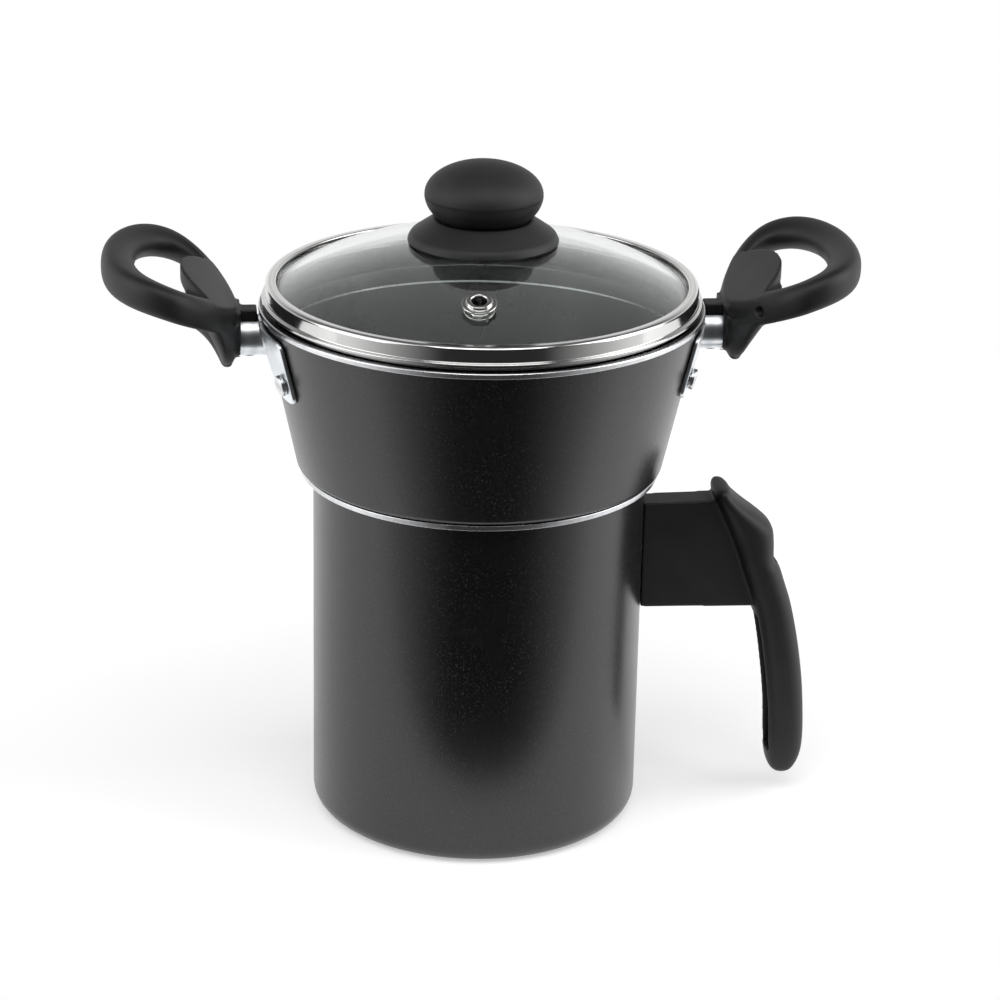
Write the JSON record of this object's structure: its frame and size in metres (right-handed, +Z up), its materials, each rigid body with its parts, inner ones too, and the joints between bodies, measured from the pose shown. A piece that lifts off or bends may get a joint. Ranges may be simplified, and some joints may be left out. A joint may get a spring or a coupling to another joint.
{
  "type": "couscous steamer",
  "caption": "Stovetop couscous steamer for one portion: boiler mug with side handle, nested tapered steaming bowl with loop handles, perforated plate and domed glass lid with knob.",
  "frame": {"origin": "centre of the mug's base, on the surface that the steamer stands on", "axes": "+Z up along the axis of mug, bowl and lid; +X out through the mug handle and the right side handle; -Y towards the steam vent"},
  "size_m": [0.2766, 0.1636, 0.2519],
  "materials": {
    "coated_aluminium": "charcoal non-stick coat with fine metallic speckle, satin",
    "bare_aluminium": "bare, bright turned",
    "chromed_steel": "bright plated",
    "stainless_steel": "polished",
    "phenolic": "moulded phenolic, satin black",
    "tempered_glass": "clear tempered glass with a faint green edge",
    "brass": "turned",
    "silicone": "moulded, translucent white"
  },
  "bodies": {
    "mug": {"mug_body": "coated_aluminium", "mug_handle": "phenolic", "mug_handle_stud": "bare_aluminium", "mug_handle_screw": "stainless_steel", "mug_handle_washer": "stainless_steel"},
    "bowl": {"steamer_bowl": "coated_aluminium", "right_handle_bracket": "chromed_steel", "left_handle_bracket": "chromed_steel", "right_side_handle": "phenolic", "left_side_handle": "phenolic", "right_handle_screw": "stainless_steel", "left_handle_screw": "stainless_steel", "right_front_rivet": "bare_aluminium", "right_back_rivet": "bare_aluminium", "left_front_rivet": "bare_aluminium", "left_back_rivet": "bare_aluminium"},
    "plate": {"steam_plate": "bare_aluminium"},
    "lid": {"lid_glass": "tempered_glass", "lid_rim": "stainless_steel", "vent_eyelet": "stainless_steel", "knob_skirt": "phenolic", "knob": "phenolic", "knob_insert": "brass", "knob_screw": "stainless_steel", "knob_washer": "stainless_steel", "knob_gasket": "silicone"}
  },
  "joints": [
    {"name": "bowl_lift", "type": "slide", "parent": "mug", "child": "bowl", "axis": [0, 0, 1], "range_m": [0, 0.12]},
    {"name": "plate_lift", "type": "slide", "parent": "bowl", "child": "plate", "axis": [0, 0, 1], "range_m": [0, 0.05]},
    {"name": "lid_lift", "type": "slide", "parent": "bowl", "child": "lid", "axis": [0, 0, 1], "range_m": [0, 0.1]}
  ]
}
